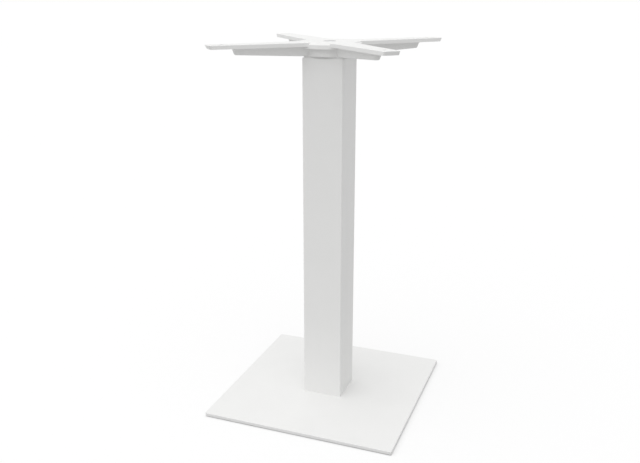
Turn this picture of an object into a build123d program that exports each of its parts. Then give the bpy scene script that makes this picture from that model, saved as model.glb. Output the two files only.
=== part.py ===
"""Table base: a square floor plate, a square column and a cast four-armed spider, clamped by one tie rod.

The origin is on the floor under the middle of the plate, +Z is up and the front faces -Y.
"""
import os
from math import asin, degrees, radians, tan

from build123d import *

# Overall height, from the floor to the faces that carry the table top
overall_height = 722.0

# Base plate
plate_side = 385.0
plate_thickness = 6.0
plate_corner_radius = 4.0
plate_edge_break = 0.8

# Column, an extruded square tube
column_side = 80.0
column_wall = 3.0
column_corner_radius = 2.5
column_inner_radius = 1.0

# Spider flange: four tapered arms on a round rim
arm_reach = 236.0
arm_axis_width = 51.0
arm_tip_width = 30.0
arm_tip_undercut = 4.0
arm_tip_round = 4.0
flange_thickness = 7.0
rim_radius = 60.0
rim_depth = 10.5
rim_corner_round = 8.0
rim_bevel_width = 4.0
rim_bevel_depth = 3.5
flange_edge_break = 0.6

# Spider hub and the rib under each arm
hub_depth = 25.0
skirt_top_radius = 48.0
skirt_bottom_radius = 47.0
rib_tip_gap = 48.0
rib_end_depth = 11.5
rib_draft_angle = 16.0
rib_end_width = 14.0
rib_axis_width = 27.0
rib_level_radius = 62.0
rib_edge_bevel = 1.0
rib_root_bevel = 2.0

# Spider seat on the column's end, which leaves a dark joint line, and the cored spigot inside the column
seat_height = 3.5
seat_inset = 2.2
spigot_depth = 12.0
spigot_wall = 5.0
spigot_corner_radius = 3.0
boss_diameter = 32.0
core_height = 14.0

# Screw holes for the table top, one in each arm beyond its rib
top_hole_diameter = 7.0
top_hole_tip_gap = 28.0

# Tie rod and its fasteners, M10
rod_diameter = 10.0
rod_end_chamfer = 1.0
nut_width = 16.0
nut_height = 8.4
washer_diameter = 20.0
washer_thickness = 2.0
lock_washer_diameter = 18.0
lock_washer_thickness = 2.2
lock_washer_split = 1.5
nut_recess_diameter = 24.0
nut_recess_depth = 13.2
coupling_width = 17.0
coupling_height = 40.0
coupling_engagement = 16.0

# Foot screw, M10 countersunk with a hexagon socket
screw_head_diameter = 19.0
screw_head_height = 4.5
screw_sink = 0.4
socket_width = 6.0
socket_depth = 3.0

# Foot locator, welded to the plate inside the column
locator_height = 12.0
locator_corner_radius = 3.0
locator_lead_in = 1.5

# Levelling glides, M8 studs on steel discs with plastic pads bonded below
glide_inset = 32.5
stud_diameter = 8.0
stud_length = 4.4
stud_hole_spare = 0.6
disc_diameter = 22.0
disc_thickness = 1.0
pad_diameter = 20.0
pad_thickness = 1.2

# Clearances
thread_clearance = 0.05
rod_hole_clearance = 0.5
washer_clearance = 0.4
slip_fit = 0.3

# Heights that follow
plate_bottom = pad_thickness + disc_thickness
plate_top = plate_bottom + plate_thickness
hub_bottom = overall_height - hub_depth
column_top = hub_bottom - seat_height
flange_bottom = overall_height - flange_thickness
rim_bottom = overall_height - rim_depth
recess_floor = overall_height - nut_recess_depth
locator_top = plate_top + locator_height
column_height = column_top - plate_top
column_bore = column_side - 2 * column_wall
lock_washer_bottom = recess_floor + washer_thickness
nut_bottom = lock_washer_bottom + lock_washer_thickness
rod_top = nut_bottom + nut_height
rod_bottom = locator_top + coupling_height - coupling_engagement
screw_top = locator_top + coupling_engagement

# Reaches and diameters that follow
rib_reach = arm_reach - rib_tip_gap
top_hole_radius = arm_reach - top_hole_tip_gap
rod_hole_diameter = rod_diameter + 2 * rod_hole_clearance
tapped_rod_hole = rod_diameter + 2 * thread_clearance
tapped_stud_hole = stud_diameter + 2 * thread_clearance
washer_hole = rod_diameter + 2 * washer_clearance
glide_spacing = plate_side - 2 * glide_inset

standing = (Align.CENTER, Align.CENTER, Align.MIN)
os.makedirs("parts", exist_ok=True)


def out_from_axis(edge):
    """Distance of an edge's middle from the vertical axis."""
    return Vector(edge.center().X, edge.center().Y).length


# Base plate, with the countersink for the foot screw and the blind glide holes below
with BuildPart() as base_plate:
    with BuildSketch(Plane.XY.offset(plate_bottom)):
        RectangleRounded(plate_side, plate_side, plate_corner_radius)
    extrude(amount=plate_thickness)
    chamfer(base_plate.faces().sort_by(Axis.Z)[-1].edges(), plate_edge_break)
    with Locations((0, 0, plate_bottom)):
        Cylinder(rod_hole_diameter / 2, plate_thickness, align=standing, mode=Mode.SUBTRACT)
        Cylinder(screw_head_diameter / 2 + slip_fit, screw_sink, align=standing, mode=Mode.SUBTRACT)
    with Locations((0, 0, plate_bottom + screw_sink)):
        Cone(
            screw_head_diameter / 2 + slip_fit,
            rod_diameter / 2 + slip_fit,
            screw_head_height,
            align=standing,
            mode=Mode.SUBTRACT,
        )
    with Locations((0, 0, plate_bottom)):
        with GridLocations(glide_spacing, glide_spacing, 2, 2):
            Cylinder(tapped_stud_hole / 2, stud_length + stud_hole_spare, align=standing, mode=Mode.SUBTRACT)
base_plate.part.label = "base_plate"
export_step(base_plate.part, "parts/base_plate.step")


# Foot locator, the square block that the column slips over
with BuildPart() as foot_locator:
    with BuildSketch(Plane.XY.offset(plate_top)):
        RectangleRounded(column_bore - 2 * slip_fit, column_bore - 2 * slip_fit, locator_corner_radius)
        Circle(rod_hole_diameter / 2, mode=Mode.SUBTRACT)
    extrude(amount=locator_height)
    chamfer(foot_locator.faces().sort_by(Axis.Z)[-1].outer_wire().edges(), locator_lead_in)
foot_locator.part.label = "foot_locator"
export_step(foot_locator.part, "parts/foot_locator.step")


# Column
with BuildPart() as column:
    with BuildSketch(Plane.XY.offset(plate_top)):
        RectangleRounded(column_side, column_side, column_corner_radius)
        RectangleRounded(column_bore, column_bore, column_inner_radius, mode=Mode.SUBTRACT)
    extrude(amount=column_height)
column.part.label = "column"
export_step(column.part, "parts/column.step")


# Rib under one arm, along +X: its side view, with sides and end that lean in, and a bevel at its root
rib_slope = (rib_axis_width - rib_end_width) / 2 / rib_reach
rib_lean = tan(radians(rib_draft_angle))
root_lean = 1.0
root_spread = rib_root_bevel * (root_lean - rib_lean)


def lean_in(spread, lean):
    """Trims a bar under the flange with planes that run in by lean for each unit of depth."""
    for side in (1, -1):
        flank = (rib_reach, side * (rib_end_width / 2 + spread), flange_bottom)
        split(bisect_by=Plane(flank, z_dir=(rib_slope, side, -lean)), keep=Keep.BOTTOM)
    tip = (rib_reach + spread, 0, flange_bottom)
    split(bisect_by=Plane(tip, z_dir=(1, 0, -lean)), keep=Keep.BOTTOM)


with BuildPart() as rib_root:
    with BuildSketch(Plane.XZ):
        with Locations((0, flange_bottom)):
            Rectangle(rib_reach + root_spread, rib_root_bevel, align=(Align.MIN, Align.MAX))
    extrude(amount=rib_axis_width, both=True)
    lean_in(root_spread, root_lean)

with BuildPart() as rib:
    with BuildSketch(Plane.XZ):
        Polygon(
            (0, flange_bottom),
            (0, hub_bottom),
            (rib_level_radius, hub_bottom),
            (rib_reach, flange_bottom - rib_end_depth),
            (rib_reach, flange_bottom),
            align=None,
        )
    extrude(amount=rib_axis_width, both=True)
    lean_in(0, rib_lean)
    sloping_sole = rib.faces().sort_by(Axis.Z)[1]
    chamfer(sloping_sole.edges().sort_by(Axis.X)[1:], rib_edge_bevel)
    add(rib_root.part)


# Cutter for the bevel on the rim between two arms
bevel_angle = 90 - 2 * degrees(asin(arm_axis_width / 2 / rim_radius))
with BuildPart() as rim_bevel:
    with BuildSketch(Plane.XZ):
        Polygon(
            (rim_radius - rim_bevel_width, overall_height),
            (rim_radius + rim_bevel_width, overall_height),
            (rim_radius + rim_bevel_width, overall_height - 2 * rim_bevel_depth),
            align=None,
        )
    revolve(axis=Axis.Z, revolution_arc=bevel_angle)


# Spider, one casting
with BuildPart() as spider:
    with BuildSketch(Plane.XY.offset(flange_bottom)) as flange_plan:
        Circle(rim_radius)
        arm_slope = (arm_axis_width - arm_tip_width) / 2 / arm_reach
        past_tip = arm_reach + flange_thickness
        past_tip_half = arm_axis_width / 2 - arm_slope * past_tip
        with PolarLocations(0, 4, start_angle=45):
            Polygon(
                (0, -arm_axis_width / 2),
                (past_tip, -past_tip_half),
                (past_tip, past_tip_half),
                (0, arm_axis_width / 2),
                align=None,
            )
        inner_corners = flange_plan.vertices().filter_by(lambda v: Vector(v).length < arm_reach / 2)
        fillet(inner_corners, rim_corner_round)
    extrude(amount=flange_thickness)
    with Locations((0, 0, flange_bottom)):
        Cone(
            arm_reach - arm_tip_undercut,
            arm_reach,
            flange_thickness,
            align=standing,
            mode=Mode.INTERSECT,
        )
    upright_edges = spider.edges().filter_by_position(Axis.Z, flange_bottom, overall_height, (False, False))
    fillet(upright_edges.filter_by(lambda e: out_from_axis(e) > arm_reach / 2), arm_tip_round)
    chamfer(spider.faces().sort_by(Axis.Z)[-1].outer_wire().edges(), flange_edge_break)
    with PolarLocations(0, 4, start_angle=45):
        add(rib.part)
    with Locations((0, 0, rim_bottom)):
        Cylinder(rim_radius, rim_depth - flange_thickness, align=standing)
    with Locations((0, 0, hub_bottom)):
        Cone(skirt_bottom_radius, skirt_top_radius, hub_depth - rim_depth, align=standing)
    with PolarLocations(0, 4, start_angle=-bevel_angle / 2):
        add(rim_bevel.part, mode=Mode.SUBTRACT)
    seat_side = column_side - 2 * seat_inset
    with BuildSketch(Plane.XY.offset(hub_bottom)):
        RectangleRounded(seat_side, seat_side, spigot_corner_radius)
    extrude(amount=-seat_height)
    spigot_side = column_bore - 2 * slip_fit
    with BuildSketch(Plane.XY.offset(column_top)):
        RectangleRounded(spigot_side, spigot_side, spigot_corner_radius)
    extrude(amount=-spigot_depth)
    core_side = spigot_side - 2 * spigot_wall
    with BuildSketch(Plane.XY.offset(column_top - spigot_depth)):
        RectangleRounded(core_side, core_side, spigot_corner_radius)
        Circle(boss_diameter / 2, mode=Mode.SUBTRACT)
    extrude(amount=core_height, mode=Mode.SUBTRACT)
    with Locations((0, 0, overall_height)):
        CounterBoreHole(rod_hole_diameter / 2, nut_recess_diameter / 2, nut_recess_depth)
        with PolarLocations(top_hole_radius, 4, start_angle=45):
            Hole(top_hole_diameter / 2)
spider.part.label = "spider"
export_step(spider.part, "parts/spider.step")


# Foot screw
with BuildPart() as foot_screw:
    head_bottom = plate_bottom + screw_sink
    with Locations((0, 0, head_bottom)):
        Cone(screw_head_diameter / 2, rod_diameter / 2, screw_head_height, align=standing)
        Cylinder(rod_diameter / 2, screw_top - head_bottom, align=standing)
    with BuildSketch(Plane.XY.offset(head_bottom)):
        RegularPolygon(socket_width / 2, 6, major_radius=False)
    extrude(amount=socket_depth, mode=Mode.SUBTRACT)
foot_screw.part.label = "foot_screw"
export_step(foot_screw.part, "parts/foot_screw.step")


# Coupling nut, standing on the locator
with BuildPart() as coupling_nut:
    with BuildSketch(Plane.XY.offset(locator_top)):
        RegularPolygon(coupling_width / 2, 6, major_radius=False)
        Circle(tapped_rod_hole / 2, mode=Mode.SUBTRACT)
    extrude(amount=coupling_height)
coupling_nut.part.label = "coupling_nut"
export_step(coupling_nut.part, "parts/coupling_nut.step")


# Tie rod
with BuildPart() as tie_rod:
    with Locations((0, 0, rod_bottom)):
        Cylinder(rod_diameter / 2, rod_top - rod_bottom, align=standing)
    chamfer(tie_rod.edges().filter_by(GeomType.CIRCLE), rod_end_chamfer)
tie_rod.part.label = "tie_rod"
export_step(tie_rod.part, "parts/tie_rod.step")


# Washer, split lock washer and nut in the hub's recess
with BuildPart() as top_washer:
    with BuildSketch(Plane.XY.offset(recess_floor)):
        Circle(washer_diameter / 2)
        Circle(washer_hole / 2, mode=Mode.SUBTRACT)
    extrude(amount=washer_thickness)
top_washer.part.label = "top_washer"
export_step(top_washer.part, "parts/top_washer.step")

with BuildPart() as top_lock_washer:
    with BuildSketch(Plane.XY.offset(lock_washer_bottom)):
        Circle(lock_washer_diameter / 2)
        Circle(washer_hole / 2, mode=Mode.SUBTRACT)
        with Locations((lock_washer_diameter / 2, 0)):
            Rectangle(lock_washer_diameter, lock_washer_split, mode=Mode.SUBTRACT)
    extrude(amount=lock_washer_thickness)
top_lock_washer.part.label = "top_lock_washer"
export_step(top_lock_washer.part, "parts/top_lock_washer.step")

with BuildPart() as top_nut:
    with BuildSketch(Plane.XY.offset(nut_bottom)):
        RegularPolygon(nut_width / 2, 6, major_radius=False)
        Circle(tapped_rod_hole / 2, mode=Mode.SUBTRACT)
    extrude(amount=nut_height)
top_nut.part.label = "top_nut"
export_step(top_nut.part, "parts/top_nut.step")


# Levelling glides, made once on the axis and placed under each corner
with BuildPart() as glide_stud:
    with Locations((0, 0, pad_thickness)):
        Cylinder(disc_diameter / 2, disc_thickness, align=standing)
        Cylinder(stud_diameter / 2, disc_thickness + stud_length, align=standing)

with BuildPart() as glide_pad:
    Cylinder(pad_diameter / 2, pad_thickness, align=standing)

half_spacing = glide_spacing / 2
glide_places = {
    "front_left": (-half_spacing, -half_spacing, 0),
    "front_right": (half_spacing, -half_spacing, 0),
    "back_left": (-half_spacing, half_spacing, 0),
    "back_right": (half_spacing, half_spacing, 0),
}
for corner, place in glide_places.items():
    with BuildPart() as placed_stud:
        with Locations(place):
            add(glide_stud.part)
    placed_stud.part.label = f"glide_stud_{corner}"
    export_step(placed_stud.part, f"parts/glide_stud_{corner}.step")
    with BuildPart() as placed_pad:
        with Locations(place):
            add(glide_pad.part)
    placed_pad.part.label = f"glide_pad_{corner}"
    export_step(placed_pad.part, f"parts/glide_pad_{corner}.step")
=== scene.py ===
"""Looks of the table base: its coats, threads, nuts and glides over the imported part, its stage and camera."""

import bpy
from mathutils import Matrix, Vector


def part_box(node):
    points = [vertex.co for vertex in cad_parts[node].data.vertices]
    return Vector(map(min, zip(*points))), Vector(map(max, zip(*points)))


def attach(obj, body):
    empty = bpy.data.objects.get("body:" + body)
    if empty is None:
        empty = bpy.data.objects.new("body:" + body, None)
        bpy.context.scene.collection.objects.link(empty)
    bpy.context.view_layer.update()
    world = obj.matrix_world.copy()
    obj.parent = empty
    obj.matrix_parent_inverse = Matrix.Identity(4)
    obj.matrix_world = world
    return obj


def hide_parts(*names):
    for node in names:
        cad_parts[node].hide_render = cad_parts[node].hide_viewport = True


bl_info = {
    "name": "Table Base Looks",
    "version": (1, 0, 0),
    "blender": (4, 5, 0),
    "location": "View3D > Sidebar > Table Base",
    "description": "Finishes the packed table base and sets it on a plain studio floor",
    "category": "Object",
}

import math

import bmesh
import bpy
from mathutils import Vector

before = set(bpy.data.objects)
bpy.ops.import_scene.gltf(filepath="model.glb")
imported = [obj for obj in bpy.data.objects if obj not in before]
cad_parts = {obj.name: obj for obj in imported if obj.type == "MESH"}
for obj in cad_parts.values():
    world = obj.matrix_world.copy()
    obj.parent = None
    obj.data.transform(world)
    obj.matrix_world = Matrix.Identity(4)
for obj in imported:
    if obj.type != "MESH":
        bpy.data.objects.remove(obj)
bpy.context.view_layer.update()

MM = 0.001
PHOTO_WIDTH = 640
SENSOR_WIDTH_MM = 36.0
CORNERS = ("front_left", "front_right", "back_left", "back_right")
# Depth of a metric thread as a share of its pitch
THREAD_DEPTH = 0.61
# Faces round a glide's disc and pad
ROUND_STEPS = 64


def linear(hex_colour):
    """Linear RGBA of an sRGB hex colour."""
    parts = [int(hex_colour[i : i + 2], 16) / 255 for i in (1, 3, 5)]
    return [p / 12.92 if p <= 0.04045 else ((p + 0.055) / 1.055) ** 2.4 for p in parts] + [1.0]


def node_height(node):
    """Height of a CAD node, in metres."""
    low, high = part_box(node)
    return high[2] - low[2]


def node_width(node):
    """Width of a CAD node across X, in metres."""
    low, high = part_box(node)
    return high[0] - low[0]


class TableBaseColours(bpy.types.PropertyGroup):
    """Colours of the finishes."""

    coat: bpy.props.FloatVectorProperty(
        name="Coat",
        description="White of the powder coat",
        subtype="COLOR",
        size=4,
        default=linear("#EDEDEC"),
    )
    coat_shade: bpy.props.FloatVectorProperty(
        name="Coat shade",
        description="Slightly deeper white where the coat lies thicker",
        subtype="COLOR",
        size=4,
        default=linear("#E8E8E7"),
    )
    zinc: bpy.props.FloatVectorProperty(
        name="Zinc",
        description="Bright zinc plating",
        subtype="COLOR",
        size=4,
        default=linear("#C8CCD2"),
    )
    zinc_warm: bpy.props.FloatVectorProperty(
        name="Zinc, warm",
        description="Warmer tint of the plating's thin passivated film",
        subtype="COLOR",
        size=4,
        default=linear("#D0CCC0"),
    )
    nylon: bpy.props.FloatVectorProperty(
        name="Nylon",
        description="Black nylon of the glide pads",
        subtype="COLOR",
        size=4,
        default=linear("#1B1B1C"),
    )
    floor: bpy.props.FloatVectorProperty(
        name="Floor",
        description="Pale grey of the studio floor",
        subtype="COLOR",
        size=4,
        default=linear("#C0C0C0"),
    )


class TableBaseSizes(bpy.types.PropertyGroup):
    """Sizes of the detail that the CAD part leaves plain."""

    coat_grain: bpy.props.FloatProperty(
        name="Coat grain",
        description="Width of the powder coat's ripples, drawn coarser than real ones so that they show",
        unit="LENGTH",
        default=1.4 * MM,
    )
    cast_grain: bpy.props.FloatProperty(
        name="Cast grain",
        description="Width of the casting's skin texture under its coat, drawn coarser so that it shows",
        unit="LENGTH",
        default=2.6 * MM,
    )
    plate_relief: bpy.props.FloatProperty(
        name="Plate relief",
        description="Depth of the coat's ripples on the plate",
        unit="LENGTH",
        default=0.12 * MM,
    )
    column_relief: bpy.props.FloatProperty(
        name="Column relief",
        description="Depth of the coat's ripples on the column",
        unit="LENGTH",
        default=0.10 * MM,
    )
    cast_relief: bpy.props.FloatProperty(
        name="Cast relief",
        description="Depth of the casting's skin texture",
        unit="LENGTH",
        default=0.25 * MM,
    )
    rod_pitch: bpy.props.FloatProperty(
        name="Rod pitch",
        description="Thread pitch of the M10 tie rod",
        unit="LENGTH",
        default=1.5 * MM,
    )
    stud_pitch: bpy.props.FloatProperty(
        name="Stud pitch",
        description="Thread pitch of the M8 glide studs",
        unit="LENGTH",
        default=1.25 * MM,
    )
    stud_diameter: bpy.props.FloatProperty(
        name="Stud diameter",
        description="Outside of the glide studs' thread",
        unit="LENGTH",
        default=8.0 * MM,
    )
    disc_thickness: bpy.props.FloatProperty(
        name="Disc thickness",
        description="Steel disc at the foot of each glide stud",
        unit="LENGTH",
        default=1.0 * MM,
    )
    pad_round: bpy.props.FloatProperty(
        name="Pad rounding",
        description="Rounded lower edge of each glide pad",
        unit="LENGTH",
        default=0.7 * MM,
    )


class TableBaseStage(bpy.types.PropertyGroup):
    """Camera, light and floor."""

    camera_place: bpy.props.FloatVectorProperty(
        name="Camera place",
        description="Where the camera stands",
        subtype="TRANSLATION",
        unit="LENGTH",
        default=(0.4999, -1.3791, 0.8311),
    )
    camera_turn: bpy.props.FloatProperty(
        name="Camera turn",
        description="Turn of the view to the left of +Y",
        subtype="ANGLE",
        default=math.radians(20.641),
    )
    camera_tilt: bpy.props.FloatProperty(
        name="Camera tilt",
        description="Tilt of the view below level",
        subtype="ANGLE",
        default=math.radians(18.099),
    )
    focal_pixels: bpy.props.FloatProperty(
        name="Focal length in pixels",
        description="Focal length in pixels of a frame as wide as the photograph",
        default=773.4,
    )
    sky: bpy.props.FloatProperty(
        name="Sky",
        description="Even light from all round",
        default=0.62,
    )
    key: bpy.props.FloatProperty(
        name="Key",
        description="Soft light from above, the front and the left",
        default=1.55,
    )
    key_spread: bpy.props.FloatProperty(
        name="Key spread",
        description="Angle that the soft light covers",
        subtype="ANGLE",
        default=math.radians(100),
    )
    key_from: bpy.props.FloatVectorProperty(
        name="Key from",
        description="Direction that the soft light comes from",
        subtype="DIRECTION",
        default=(-0.2, -0.4, 1.0),
    )
    floor_lift: bpy.props.FloatProperty(
        name="Floor lift",
        description="Light that the floor adds towards the camera to come out white",
        default=0.44,
    )
    # Under the plate the floor glows less than in the open: painted shade in the gap, on top of the plate's
    # real shadow there.
    painted_gap_shade_lift: bpy.props.FloatProperty(
        name="Gap lift",
        description="What is left of the floor's lift under the plate, so that the gap keeps its shadow",
        default=0.22,
    )
    floor_half: bpy.props.FloatProperty(
        name="Floor half width",
        description="Half the width of the floor",
        unit="LENGTH",
        default=40.0,
    )


def colours():
    """The finishes' colours, as the panel holds them."""
    return bpy.context.scene.table_base_colours


def sizes():
    """The detail's sizes, as the panel holds them."""
    return bpy.context.scene.table_base_sizes


def studio():
    """The stage's settings, as the panel holds them."""
    return bpy.context.scene.table_base_stage


def add_node(tree, kind, inputs=None, **settings):
    """Adds a node with its settings; each input is a value or a socket to link from."""
    node = tree.nodes.new(kind)
    for name, value in settings.items():
        setattr(node, name, value)
    for socket, value in (inputs or {}).items():
        if isinstance(value, bpy.types.NodeSocket):
            tree.links.new(value, node.inputs[socket])
        else:
            node.inputs[socket].default_value = value
    return node


def new_material(name):
    """An empty node material and its tree."""
    material = bpy.data.materials.new(name)
    material.use_nodes = True
    material.node_tree.nodes.clear()
    return material, material.node_tree


def powder_coat(name, grain, relief):
    """White powder coat, baked on: satin, a little soft in its gloss, with a fine rippled skin."""
    cloud_width = 90 * MM
    satin_low, satin_high = 0.42, 0.54
    material, tree = new_material(name)
    place = add_node(tree, "ShaderNodeTexCoord").outputs["Object"]
    cloud = add_node(tree, "ShaderNodeTexNoise", {"Vector": place, "Scale": 1 / cloud_width, "Detail": 2.0})
    tint = add_node(
        tree,
        "ShaderNodeMix",
        {"Factor": cloud.outputs["Fac"], "A": colours().coat, "B": colours().coat_shade},
        data_type="RGBA",
    )
    ripple = add_node(tree, "ShaderNodeTexNoise", {"Vector": place, "Scale": 1 / grain, "Detail": 2.0})
    sheen = add_node(
        tree,
        "ShaderNodeMapRange",
        {"Value": ripple.outputs["Fac"], "To Min": satin_low, "To Max": satin_high},
    )
    bump = add_node(
        tree,
        "ShaderNodeBump",
        {"Height": ripple.outputs["Fac"], "Strength": 0.5, "Distance": relief},
    )
    shader = add_node(
        tree,
        "ShaderNodeBsdfPrincipled",
        {
            "Base Color": tint.outputs["Result"],
            "Roughness": sheen.outputs["Result"],
            "Normal": bump.outputs["Normal"],
            "IOR": 1.5,
        },
    )
    add_node(tree, "ShaderNodeOutputMaterial", {"Surface": shader.outputs["BSDF"]})
    return material


def zinc_plating():
    """Bright zinc plating on steel: a cool metal with a faint warm bloom and fine rolled grain."""
    bloom_width = 12 * MM
    grain_width = 0.6 * MM
    grain_depth = 0.03 * MM
    gloss_low, gloss_high = 0.26, 0.40
    material, tree = new_material("zinc_plated_steel")
    place = add_node(tree, "ShaderNodeTexCoord").outputs["Object"]
    bloom = add_node(tree, "ShaderNodeTexNoise", {"Vector": place, "Scale": 1 / bloom_width, "Detail": 3.0})
    tint = add_node(
        tree,
        "ShaderNodeMix",
        {"Factor": bloom.outputs["Fac"], "A": colours().zinc, "B": colours().zinc_warm},
        data_type="RGBA",
    )
    grain = add_node(tree, "ShaderNodeTexNoise", {"Vector": place, "Scale": 1 / grain_width, "Detail": 2.0})
    gloss = add_node(
        tree,
        "ShaderNodeMapRange",
        {"Value": grain.outputs["Fac"], "To Min": gloss_low, "To Max": gloss_high},
    )
    bump = add_node(
        tree,
        "ShaderNodeBump",
        {"Height": grain.outputs["Fac"], "Strength": 0.3, "Distance": grain_depth},
    )
    shader = add_node(
        tree,
        "ShaderNodeBsdfPrincipled",
        {
            "Base Color": tint.outputs["Result"],
            "Metallic": 1.0,
            "Roughness": gloss.outputs["Result"],
            "Normal": bump.outputs["Normal"],
        },
    )
    add_node(tree, "ShaderNodeOutputMaterial", {"Surface": shader.outputs["BSDF"]})
    return material


def moulded_nylon():
    """Black moulded nylon: nearly matt, with a fine dull grain from its mould."""
    grain_width = 0.9 * MM
    grain_depth = 0.05 * MM
    dull_low, dull_high = 0.55, 0.72
    material, tree = new_material("black_moulded_nylon")
    place = add_node(tree, "ShaderNodeTexCoord").outputs["Object"]
    grain = add_node(tree, "ShaderNodeTexNoise", {"Vector": place, "Scale": 1 / grain_width, "Detail": 3.0})
    dull = add_node(
        tree,
        "ShaderNodeMapRange",
        {"Value": grain.outputs["Fac"], "To Min": dull_low, "To Max": dull_high},
    )
    bump = add_node(
        tree,
        "ShaderNodeBump",
        {"Height": grain.outputs["Fac"], "Strength": 0.4, "Distance": grain_depth},
    )
    shader = add_node(
        tree,
        "ShaderNodeBsdfPrincipled",
        {
            "Base Color": colours().nylon,
            "Roughness": dull.outputs["Result"],
            "Normal": bump.outputs["Normal"],
            "IOR": 1.53,
        },
    )
    add_node(tree, "ShaderNodeOutputMaterial", {"Surface": shader.outputs["BSDF"]})
    return material


def shared_material(name, make):
    """The material of that name, made the first time it is asked for."""
    return bpy.data.materials.get(name) or make()


def zinc():
    """The one zinc plating that all the steel fasteners share."""
    return shared_material("zinc_plated_steel", zinc_plating)


def nylon():
    """The one nylon that the four pads share."""
    return shared_material("black_moulded_nylon", moulded_nylon)


def coat_node(node, material):
    """Gives a CAD node one material in all its slots."""
    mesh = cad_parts[node].data
    if not mesh.materials:
        mesh.materials.append(material)
    for index in range(len(mesh.materials)):
        mesh.materials[index] = material


def new_piece(name, mesh, body, node, material):
    """Links a finished mesh as a piece that rides on a body and stands for a CAD node."""
    mesh.materials.clear()
    mesh.materials.append(material)
    piece = bpy.data.objects.new(name, mesh)
    bpy.context.scene.collection.objects.link(piece)
    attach(piece, body)
    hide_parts(node)


def lathe(bm, profile, centre, around):
    """Closed ring of faces from a profile of (radius, height) points turned about a vertical axis."""
    rings = []
    for step in range(around):
        angle = 2 * math.pi * step / around
        ray = Vector((math.cos(angle), math.sin(angle), 0))
        rings.append([bm.verts.new(Vector(centre) + ray * r + Vector((0, 0, z))) for r, z in profile])
    for step in range(around):
        here, there = rings[step], rings[(step + 1) % around]
        for i in range(len(profile) - 1):
            bm.faces.new((here[i], there[i], there[i + 1], here[i + 1]))
    return rings


def close_ends(bm, rings):
    """Caps the two open ends of a lathe with flat faces."""
    bm.faces.new([ring[0] for ring in reversed(rings)])
    bm.faces.new([ring[-1] for ring in rings])


def mesh_from(bm, name, smooth_angle=math.radians(35)):
    """A mesh with outward faces from a bmesh, smooth except at sharp edges."""
    bmesh.ops.remove_doubles(bm, verts=bm.verts, dist=0.001 * MM)
    bmesh.ops.recalc_face_normals(bm, faces=bm.faces)
    for face in bm.faces:
        face.smooth = True
    for edge in bm.edges:
        edge.smooth = edge.calc_face_angle(0.0) < smooth_angle
    mesh = bpy.data.meshes.new(name)
    bm.to_mesh(mesh)
    bm.free()
    return mesh


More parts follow.
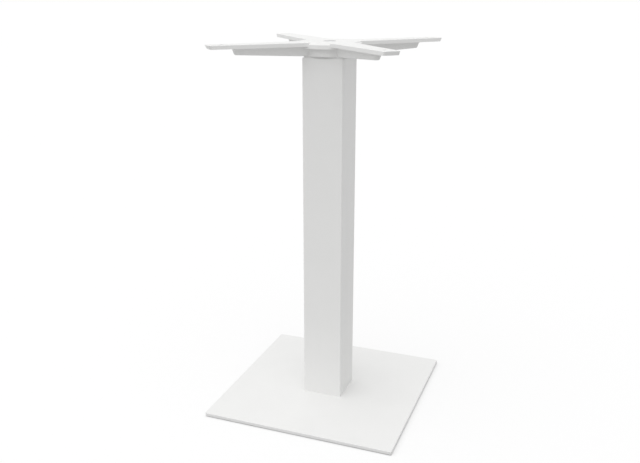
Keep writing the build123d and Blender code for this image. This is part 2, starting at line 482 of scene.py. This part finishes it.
def thread_tree():
    """Geometry Nodes tree that turns a rod with a screw thread, tapered away at its two ends."""
    tree = bpy.data.node_groups.new("screw_thread", "GeometryNodeTree")
    sockets = (
        ("Diameter", "NodeSocketFloat"),
        ("Length", "NodeSocketFloat"),
        ("Base", "NodeSocketVector"),
        ("Pitch", "NodeSocketFloat"),
        ("Depth", "NodeSocketFloat"),
        ("Around", "NodeSocketInt"),
        ("Rows", "NodeSocketInt"),
        ("Finish", "NodeSocketMaterial"),
    )
    for name, kind in sockets:
        tree.interface.new_socket(name, in_out="INPUT", socket_type=kind)
    tree.interface.new_socket("Geometry", in_out="OUTPUT", socket_type="NodeSocketGeometry")
    given = add_node(tree, "NodeGroupInput").outputs
    diameter = given["Diameter"]
    pitch = given["Pitch"]
    radius = add_node(tree, "ShaderNodeMath", {0: diameter, 1: 0.5}, operation="MULTIPLY").outputs[0]
    rod = add_node(
        tree,
        "GeometryNodeMeshCylinder",
        {
            "Vertices": given["Around"],
            "Side Segments": given["Rows"],
            "Radius": radius,
            "Depth": given["Length"],
        },
    )
    point = add_node(tree, "GeometryNodeInputPosition").outputs[0]
    axes = add_node(tree, "ShaderNodeSeparateXYZ", {0: point}).outputs
    angle = add_node(tree, "ShaderNodeMath", {0: axes["Y"], 1: axes["X"]}, operation="ARCTAN2").outputs[0]
    turn = add_node(tree, "ShaderNodeMath", {0: angle, 1: 2 * math.pi}, operation="DIVIDE").outputs[0]
    climb = add_node(tree, "ShaderNodeMath", {0: axes["Z"], 1: pitch}, operation="DIVIDE").outputs[0]
    phase = add_node(tree, "ShaderNodeMath", {0: climb, 1: turn}, operation="SUBTRACT").outputs[0]
    flank = add_node(tree, "ShaderNodeMath", {0: phase, 1: 0.5}, operation="PINGPONG").outputs[0]
    groove = add_node(tree, "ShaderNodeMath", {0: flank, 1: 2.0}, operation="MULTIPLY").outputs[0]
    half = add_node(tree, "ShaderNodeMath", {0: given["Length"], 1: 0.5}, operation="MULTIPLY").outputs[0]
    out = add_node(tree, "ShaderNodeMath", {0: axes["Z"]}, operation="ABSOLUTE").outputs[0]
    inset = add_node(tree, "ShaderNodeMath", {0: half, 1: out}, operation="SUBTRACT").outputs[0]
    lead = add_node(
        tree,
        "ShaderNodeMapRange",
        {"Value": inset, "From Min": 0.0, "From Max": pitch, "To Min": 1.0, "To Max": 0.0},
    ).outputs[0]
    cut = add_node(tree, "ShaderNodeMath", {0: groove, 1: lead}, operation="MAXIMUM").outputs[0]
    sink = add_node(tree, "ShaderNodeMath", {0: cut, 1: given["Depth"]}, operation="MULTIPLY").outputs[0]
    share = add_node(tree, "ShaderNodeMath", {0: sink, 1: radius}, operation="DIVIDE").outputs[0]
    keep = add_node(tree, "ShaderNodeMath", {0: 1.0, 1: share}, operation="SUBTRACT").outputs[0]
    scale = add_node(tree, "ShaderNodeCombineXYZ", {"X": keep, "Y": keep, "Z": 1.0}).outputs[0]
    turned = add_node(tree, "ShaderNodeVectorMath", {0: point, 1: scale}, operation="MULTIPLY").outputs[0]
    lift = add_node(tree, "ShaderNodeCombineXYZ", {"Z": half}).outputs[0]
    raised = add_node(tree, "ShaderNodeVectorMath", {0: turned, 1: lift}, operation="ADD").outputs[0]
    base = given["Base"]
    placed = add_node(tree, "ShaderNodeVectorMath", {0: raised, 1: base}, operation="ADD").outputs[0]
    blank = rod.outputs["Mesh"]
    threaded = add_node(tree, "GeometryNodeSetPosition", {"Geometry": blank, "Position": placed})
    realized = add_node(tree, "GeometryNodeRealizeInstances", {"Geometry": threaded.outputs[0]})
    finished = add_node(
        tree,
        "GeometryNodeSetMaterial",
        {"Geometry": realized.outputs[0], "Material": given["Finish"]},
    )
    add_node(tree, "NodeGroupOutput", {"Geometry": finished.outputs[0]})
    return tree


def threaded_mesh(name, base, diameter, length, pitch, around, rows_per_turn):
    """Plain mesh of a threaded rod that stands on base, from the thread tree."""
    tree = bpy.data.node_groups.get("screw_thread") or thread_tree()
    holder = bpy.data.objects.new(name, bpy.data.meshes.new(name))
    bpy.context.scene.collection.objects.link(holder)
    modifier = holder.modifiers.new("thread", "NODES")
    modifier.node_group = tree
    values = {
        "Diameter": diameter,
        "Length": length,
        "Base": base,
        "Pitch": pitch,
        "Depth": THREAD_DEPTH * pitch,
        "Around": around,
        "Rows": round(rows_per_turn * length / pitch),
        "Finish": zinc(),
    }
    for item in tree.interface.items_tree:
        if item.in_out == "INPUT":
            modifier[item.identifier] = values[item.name]
    evaluated = holder.evaluated_get(bpy.context.evaluated_depsgraph_get())
    mesh = bpy.data.meshes.new_from_object(evaluated)
    bpy.data.objects.remove(holder)
    if not mesh.polygons:
        raise RuntimeError(f"the thread tree made no mesh for {name}")
    return mesh


class TABLEBASE_OT_coated_pieces(bpy.types.Operator):
    """Powder-coats the plate, the column and the spider"""

    bl_idname = "table_base.coated_pieces"
    bl_label = "Coat Plate, Column and Spider"

    def execute(self, context):
        coats = (
            ("base_plate", "white_powder_coat_on_steel", sizes().coat_grain, sizes().plate_relief),
            ("column", "white_powder_coat_on_extrusion", sizes().coat_grain, sizes().column_relief),
            ("spider", "white_powder_coat_on_casting", sizes().cast_grain, sizes().cast_relief),
        )
        for node, finish, grain, relief in coats:
            coat_node(node, powder_coat(finish, grain, relief))
        return {"FINISHED"}


class TABLEBASE_OT_plain_hardware(bpy.types.Operator):
    """Plates the washers, the foot screw and the locator block with zinc"""

    bl_idname = "table_base.plain_hardware"
    bl_label = "Plate Washers, Foot Screw and Locator"

    def execute(self, context):
        for node in ("foot_locator", "foot_screw", "top_washer", "top_lock_washer"):
            coat_node(node, zinc())
        return {"FINISHED"}


class TABLEBASE_OT_tie_rod(bpy.types.Operator):
    """Cuts the thread along the tie rod"""

    bl_idname = "table_base.tie_rod"
    bl_label = "Thread Tie Rod"

    def execute(self, context):
        lower_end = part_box("tie_rod")[0]
        mesh = threaded_mesh(
            "tie_rod_thread",
            base=(0.0, 0.0, lower_end[2]),
            diameter=node_width("tie_rod"),
            length=node_height("tie_rod"),
            pitch=sizes().rod_pitch,
            around=20,
            rows_per_turn=4,
        )
        new_piece("tie_rod_threaded", mesh, "frame", "tie_rod", zinc())
        return {"FINISHED"}


class TABLEBASE_OT_hexagon_nuts(bpy.types.Operator):
    """Makes the top nut and the coupling nut, with chamfered corners and countersunk bores"""

    bl_idname = "table_base.hexagon_nuts"
    bl_label = "Make Hexagon Nuts"

    def execute(self, context):
        for node in ("top_nut", "coupling_nut"):
            self.make_nut(node)
        return {"FINISHED"}

    def make_nut(self, node):
        """One nut with two of its flats facing along Y, its profile turned about the axis."""
        low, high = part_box(node)
        flat = (high[1] - low[1]) / 2
        bore = node_width("tie_rod") / 2
        countersink = 0.6 * MM
        chamfer_start = 0.96 * flat
        chamfer_angle = math.radians(30)
        half_side = math.radians(30)
        around = 72
        bm = bmesh.new()
        rings = []
        for step in range(around):
            angle = 2 * math.pi * step / around
            from_flat = (angle + half_side) % (2 * half_side) - half_side
            side = flat / math.cos(from_flat)
            fall = (side - chamfer_start) * math.tan(chamfer_angle)
            profile = (
                (bore, low[2] + countersink),
                (bore + countersink, low[2]),
                (chamfer_start, low[2]),
                (side, low[2] + fall),
                (side, high[2] - fall),
                (chamfer_start, high[2]),
                (bore + countersink, high[2]),
                (bore, high[2] - countersink),
            )
            turn = angle + half_side
            ray = Vector((math.cos(turn), math.sin(turn), 0))
            rings.append([bm.verts.new(ray * r + Vector((0, 0, z))) for r, z in profile])
        for step in range(around):
            here, there = rings[step], rings[(step + 1) % around]
            for i in range(len(here)):
                j = (i + 1) % len(here)
                bm.faces.new((here[i], there[i], there[j], here[j]))
        mesh = mesh_from(bm, node + "_mesh", smooth_angle=math.radians(20))
        new_piece(node + "_chamfered", mesh, "frame", node, zinc())


class TABLEBASE_OT_glides(bpy.types.Operator):
    """Makes the levelling glides: threaded studs on their discs, and rounded nylon pads"""

    bl_idname = "table_base.glides"
    bl_label = "Make Levelling Glides"

    def execute(self, context):
        for corner in CORNERS:
            self.make_stud(corner)
            self.make_pad(corner)
        return {"FINISHED"}

    def make_stud(self, corner):
        """One steel disc with its threaded stud."""
        node = "glide_stud_" + corner
        low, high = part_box(node)
        centre = ((low[0] + high[0]) / 2, (low[1] + high[1]) / 2, 0.0)
        disc_top = low[2] + sizes().disc_thickness
        edge_break = 0.2 * MM
        reach = node_width(node) / 2
        bm = bmesh.new()
        profile = (
            (reach - edge_break, low[2]),
            (reach, low[2] + edge_break),
            (reach, disc_top - edge_break),
            (reach - edge_break, disc_top),
        )
        close_ends(bm, lathe(bm, profile, centre, ROUND_STEPS))
        disc = mesh_from(bm, node + "_disc")
        thread = threaded_mesh(
            node + "_thread",
            base=(centre[0], centre[1], disc_top),
            diameter=sizes().stud_diameter,
            length=high[2] - disc_top,
            pitch=sizes().stud_pitch,
            around=24,
            rows_per_turn=6,
        )
        both = bmesh.new()
        both.from_mesh(disc)
        both.from_mesh(thread)
        mesh = bpy.data.meshes.new(node + "_mesh")
        both.to_mesh(mesh)
        both.free()
        new_piece(node + "_threaded", mesh, "glide_" + corner, node, zinc())

    def make_pad(self, corner):
        """One nylon pad, rounded at its lower edge."""
        node = "glide_pad_" + corner
        low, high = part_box(node)
        centre = ((low[0] + high[0]) / 2, (low[1] + high[1]) / 2, 0.0)
        reach = node_width(node) / 2
        bend = sizes().pad_round
        bend_steps = 5
        quarter = [math.pi / 2 * i / bend_steps for i in range(bend_steps + 1)]
        profile = [
            (reach - bend + bend * math.sin(a), low[2] + bend - bend * math.cos(a)) for a in quarter
        ] + [(reach, high[2])]
        bm = bmesh.new()
        close_ends(bm, lathe(bm, profile, centre, ROUND_STEPS))
        mesh = mesh_from(bm, node + "_mesh")
        new_piece(node + "_rounded", mesh, "glide_" + corner, node, nylon())


class TABLEBASE_OT_stage(bpy.types.Operator):
    """Sets the floor, the light and the camera"""

    bl_idname = "table_base.stage"
    bl_label = "Set Stage"

    def execute(self, context):
        scene = context.scene
        scene.view_settings.view_transform = "Standard"
        self.make_floor(scene)
        self.make_light(scene)
        self.make_camera(scene)
        return {"FINISHED"}

    def seen_directly(self, tree):
        """1 where the camera sees a surface itself, in a reflection or through glass."""
        path = add_node(tree, "ShaderNodeLightPath").outputs
        mirrored = add_node(
            tree,
            "ShaderNodeMath",
            {0: path["Is Camera Ray"], 1: path["Is Glossy Ray"]},
            operation="MAXIMUM",
        )
        return add_node(
            tree,
            "ShaderNodeMath",
            {0: mirrored.outputs[0], 1: path["Is Transmission Ray"]},
            operation="MAXIMUM",
        ).outputs[0]

    def make_floor(self, scene):
        """Pale matt floor that comes out white to the camera; under the plate it glows less, a painted shade in
        the gap on top of the plate's real shadow.
        """
        half = studio().floor_half
        mesh = bpy.data.meshes.new("floor")
        mesh.from_pydata(
            [(-half, -half, 0), (half, -half, 0), (half, half, 0), (-half, half, 0)], [], [(0, 1, 2, 3)]
        )
        floor = bpy.data.objects.new("floor", mesh)
        scene.collection.objects.link(floor)
        material, tree = new_material("pale_matt_studio_floor")
        paint = add_node(tree, "ShaderNodeBsdfDiffuse", {"Color": colours().floor})
        place = add_node(tree, "ShaderNodeTexCoord").outputs["Object"]
        across = add_node(tree, "ShaderNodeVectorMath", {0: place}, operation="ABSOLUTE").outputs[0]
        axes = add_node(tree, "ShaderNodeSeparateXYZ", {0: across}).outputs
        reach = add_node(tree, "ShaderNodeMath", {0: axes["X"], 1: axes["Y"]}, operation="MAXIMUM")
        plate_edge = node_width("base_plate") / 2
        fade = 1 * MM
        # The floor's glow drops to the smaller gap value inside the plate's outline: painted shade in the gap
        # under the plate.
        glow_with_painted_gap_shade = add_node(
            tree,
            "ShaderNodeMapRange",
            {
                "Value": reach.outputs[0],
                "From Min": plate_edge - fade,
                "From Max": plate_edge,
                "To Min": studio().painted_gap_shade_lift,
                "To Max": studio().floor_lift,
            },
        )
        lift = add_node(
            tree,
            "ShaderNodeMath",
            {0: self.seen_directly(tree), 1: glow_with_painted_gap_shade.outputs["Result"]},
            operation="MULTIPLY",
        )
        glow = add_node(tree, "ShaderNodeEmission", {"Strength": lift.outputs[0]})
        surface = add_node(tree, "ShaderNodeAddShader", {0: paint.outputs[0], 1: glow.outputs[0]})
        add_node(tree, "ShaderNodeOutputMaterial", {"Surface": surface.outputs[0]})
        mesh.materials.append(material)

    def make_light(self, scene):
        """White surroundings and one broad soft light."""
        world = bpy.data.worlds.new("white_studio")
        world.use_nodes = True
        tree = world.node_tree
        tree.nodes.clear()
        strength = add_node(
            tree,
            "ShaderNodeMapRange",
            {"Value": self.seen_directly(tree), "To Min": studio().sky, "To Max": 1.0},
        )
        white = linear("#FFFFFF")
        sky = add_node(tree, "ShaderNodeBackground", {"Color": white, "Strength": strength.outputs[0]})
        add_node(tree, "ShaderNodeOutputWorld", {"Surface": sky.outputs[0]})
        scene.world = world
        lamp = bpy.data.lights.new("soft_key", "SUN")
        lamp.energy = studio().key
        lamp.angle = studio().key_spread
        key = bpy.data.objects.new("soft_key", lamp)
        key.rotation_euler = Vector(studio().key_from).to_track_quat("Z", "Y").to_euler()
        scene.collection.objects.link(key)

    def make_camera(self, scene):
        """Camera at the photograph's viewing angle."""
        lens = bpy.data.cameras.new("camera")
        lens.sensor_fit = "HORIZONTAL"
        lens.sensor_width = SENSOR_WIDTH_MM
        lens.lens = studio().focal_pixels * SENSOR_WIDTH_MM / PHOTO_WIDTH
        lens.clip_end = 4 * studio().floor_half
        camera = bpy.data.objects.new("camera", lens)
        camera.location = studio().camera_place
        camera.rotation_euler = (math.pi / 2 - studio().camera_tilt, 0.0, studio().camera_turn)
        scene.collection.objects.link(camera)
        scene.camera = camera


class TABLEBASE_PT_panel(bpy.types.Panel):
    """Lists the steps that finish the table base"""

    bl_idname = "TABLEBASE_PT_panel"
    bl_label = "Table Base"
    bl_space_type = "VIEW_3D"
    bl_region_type = "UI"
    bl_category = "Table Base"

    def draw(self, context):
        for operator in OPERATORS:
            self.layout.operator(operator.bl_idname)
        for group in (colours(), sizes(), studio()):
            box = self.layout.box()
            for name in group.__annotations__:
                box.prop(group, name)


OPERATORS = (
    TABLEBASE_OT_coated_pieces,
    TABLEBASE_OT_plain_hardware,
    TABLEBASE_OT_tie_rod,
    TABLEBASE_OT_hexagon_nuts,
    TABLEBASE_OT_glides,
    TABLEBASE_OT_stage,
)
GROUPS = {
    "table_base_colours": TableBaseColours,
    "table_base_sizes": TableBaseSizes,
    "table_base_stage": TableBaseStage,
}


def register():
    for name, group in GROUPS.items():
        bpy.utils.register_class(group)
        setattr(bpy.types.Scene, name, bpy.props.PointerProperty(type=group))
    for cls in OPERATORS + (TABLEBASE_PT_panel,):
        bpy.utils.register_class(cls)


def unregister():
    for cls in reversed(OPERATORS + (TABLEBASE_PT_panel,)):
        bpy.utils.unregister_class(cls)
    for name, group in GROUPS.items():
        delattr(bpy.types.Scene, name)
        bpy.utils.unregister_class(group)


def main():
    register()
    bpy.ops.table_base.coated_pieces()
    bpy.ops.table_base.plain_hardware()
    bpy.ops.table_base.tie_rod()
    bpy.ops.table_base.hexagon_nuts()
    bpy.ops.table_base.glides()
    bpy.ops.table_base.stage()


if __name__ == "__main__":
    main()
